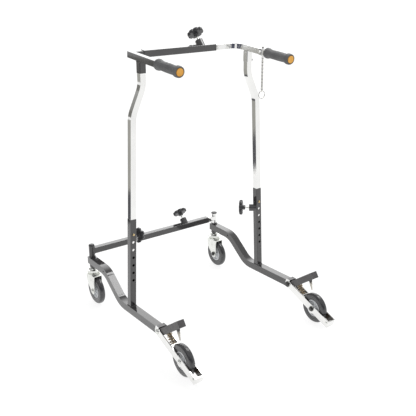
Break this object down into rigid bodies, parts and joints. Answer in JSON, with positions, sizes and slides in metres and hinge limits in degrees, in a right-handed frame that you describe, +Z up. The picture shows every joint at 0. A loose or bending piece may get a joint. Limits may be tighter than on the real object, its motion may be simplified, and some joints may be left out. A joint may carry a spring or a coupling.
{
  "type": "walking frame",
  "caption": "Four-wheeled walking frame with telescoping side tubes and crossbars, swivel casters in front and weight-operated brakes behind.",
  "frame": {"origin": "on the ground, under the middle of the bounding box", "axes": "+Z up, +Y the way the user walks, +X to the user's right"},
  "size_m": [0.704, 0.8681, 1.1587],
  "materials": {
    "black_tube": "gloss",
    "chrome": "polished",
    "zinc": "plated",
    "brake_arm": "satin",
    "tyre": "satin",
    "hub": "satin",
    "spring": "oiled",
    "grip": "matte",
    "grip_plug": "satin",
    "knob": "satin",
    "brass": "satin",
    "cap": "satin"
  },
  "bodies": {
    "left_side": {"left_base_tube": "black_tube", "left_outer_upright": "black_tube", "left_height_boss": "black_tube", "lower_cross_outer": "black_tube", "left_post_cap": "cap", "lower_width_boss": "black_tube", "left_brake_stub": "brake_arm", "left_brake_adjuster": "zinc", "left_pivot_bolt": "zinc", "left_caster_stem": "zinc", "left_brake_spring": "spring"},
    "right_side": {"right_base_tube": "black_tube", "right_outer_upright": "black_tube", "right_height_boss": "black_tube", "lower_cross_inner": "chrome", "right_post_cap": "cap", "cross_stop_bolt": "cap", "right_brake_stub": "brake_arm", "right_brake_adjuster": "zinc", "right_pivot_bolt": "zinc", "right_caster_stem": "zinc", "right_brake_spring": "spring"},
    "left_yoke": {"left_yoke": "chrome", "left_yoke_bolts": "zinc"},
    "right_yoke": {"right_yoke": "chrome", "right_yoke_bolts": "zinc"},
    "left_rear_wheel": {"left_rear_tyre": "tyre", "left_rear_hub": "hub"},
    "right_rear_wheel": {"right_rear_tyre": "tyre", "right_rear_hub": "hub"},
    "left_caster": {"left_caster_fork": "zinc", "left_caster_axle": "zinc"},
    "right_caster": {"right_caster_fork": "zinc", "right_caster_axle": "zinc"},
    "left_front_wheel": {"left_front_tyre": "tyre", "left_front_hub": "hub"},
    "right_front_wheel": {"right_front_tyre": "tyre", "right_front_hub": "hub"},
    "left_top": {"left_inner_upright": "chrome", "left_handle_sleeve": "black_tube", "left_handlebar": "black_tube", "top_cross_outer": "black_tube", "upper_width_boss": "black_tube", "left_grip": "grip", "left_grip_plug": "grip_plug"},
    "right_top": {"right_inner_upright": "chrome", "right_handle_sleeve": "chrome", "right_handlebar": "chrome", "right_sleeve_bolt": "zinc", "right_grip": "grip", "right_grip_plug": "grip_plug", "chain_clip": "chrome"},
    "left_height_knob": {"left_height_knob": "knob"},
    "right_height_knob": {"right_height_knob": "knob"},
    "lower_width_knob": {"lower_width_knob": "knob"},
    "upper_width_knob": {"upper_width_knob": "knob"},
    "left_snap_button": {"left_snap_button": "brass"},
    "right_snap_button": {"right_snap_button": "brass"},
    "chain": {"chain_links": "chrome"},
    "split_ring": {"split_ring": "chrome"}
  },
  "joints": [
    {"name": "width_slide", "type": "slide", "parent": "left_side", "child": "right_side", "axis": [1, 0, 0], "range_m": [0, 0.1]},
    {"name": "height_slide", "type": "slide", "parent": "left_side", "child": "left_top", "axis": [0.0478, 0, 0.9989], "range_m": [-0.189, 0], "deforming": ["left_snap_button", "right_snap_button"]},
    {"name": "right_height_slide", "type": "slide", "parent": "right_side", "child": "right_top", "axis": [-0.0478, 0, 0.9989], "range_m": [-0.189, 0]},
    {"name": "left_snap_press", "type": "slide", "parent": "left_top", "child": "left_snap_button", "axis": [0, 1, 0], "range_m": [0, 0.0052], "stiffness_N_per_m": 500},
    {"name": "right_snap_press", "type": "slide", "parent": "right_top", "child": "right_snap_button", "axis": [0, 1, 0], "range_m": [0, 0.0052], "stiffness_N_per_m": 500},
    {"name": "left_height_knob_turn", "type": "hinge", "parent": "left_side", "child": "left_height_knob", "pos_m": [-0.31059, 0.0265, 0.3921], "axis": [0.7063, 0.7071, -0.0338], "range_deg": [0, 720]},
    {"name": "right_height_knob_turn", "type": "hinge", "parent": "right_side", "child": "right_height_knob", "pos_m": [0.31059, 0.0265, 0.3921], "axis": [-0.7063, 0.7071, -0.0338], "range_deg": [0, 720]},
    {"name": "lower_knob_turn", "type": "hinge", "parent": "left_side", "child": "lower_width_knob", "pos_m": [0.16, 0.3575, 0.2386], "axis": [0, 0.7071, 0.7071], "range_deg": [0, 720]},
    {"name": "upper_knob_turn", "type": "hinge", "parent": "left_top", "child": "upper_width_knob", "pos_m": [0.07, 0.09232, 1.0799], "axis": [0, 0.6526, 0.7577], "range_deg": [0, 720]},
    {"name": "left_brake_pivot", "type": "hinge", "parent": "left_side", "child": "left_yoke", "pos_m": [-0.3235, -0.1905, 0.1145], "axis": [-1, 0, 0], "range_deg": [0, 4.5], "stiffness_Nm_per_rad": 20, "springref_deg": -20.05, "deforming": ["left_brake_spring"]},
    {"name": "left_rear_spin", "type": "hinge", "parent": "left_yoke", "child": "left_rear_wheel", "pos_m": [-0.3235, -0.3365, 0.0625], "axis": [1, 0, 0], "continuous": true},
    {"name": "left_caster_swivel", "type": "hinge", "parent": "left_side", "child": "left_caster", "pos_m": [-0.3235, 0.3575, 0.17], "axis": [0, 0, 1], "continuous": true},
    {"name": "left_front_spin", "type": "hinge", "parent": "left_caster", "child": "left_front_wheel", "pos_m": [-0.3235, 0.3355, 0.0625], "axis": [1, 0, 0], "continuous": true},
    {"name": "right_brake_pivot", "type": "hinge", "parent": "right_side", "child": "right_yoke", "pos_m": [0.3235, -0.1905, 0.1145], "axis": [-1, 0, 0], "range_deg": [0, 4.5], "stiffness_Nm_per_rad": 20, "springref_deg": -20.05, "deforming": ["right_brake_spring"]},
    {"name": "right_rear_spin", "type": "hinge", "parent": "right_yoke", "child": "right_rear_wheel", "pos_m": [0.3235, -0.3365, 0.0625], "axis": [1, 0, 0], "continuous": true},
    {"name": "right_caster_swivel", "type": "hinge", "parent": "right_side", "child": "right_caster", "pos_m": [0.3235, 0.3575, 0.17], "axis": [0, 0, 1], "continuous": true},
    {"name": "right_front_spin", "type": "hinge", "parent": "right_caster", "child": "right_front_wheel", "pos_m": [0.3235, 0.3355, 0.0625], "axis": [1, 0, 0], "continuous": true},
    {"name": "chain_swing", "type": "hinge", "parent": "right_top", "child": "chain", "pos_m": [0.242, -0.0635, 1.0513], "axis": [1, 0, 0], "range_deg": [-60, 15]},
    {"name": "ring_swing", "type": "hinge", "parent": "chain", "child": "split_ring", "pos_m": [0.242, -0.0635, 0.9193], "axis": [1, 0, 0], "range_deg": [-60, 60]}
  ],
  "couplings": [
    {"joint": "right_height_slide", "follows": "height_slide", "ratio": 1}
  ]
}
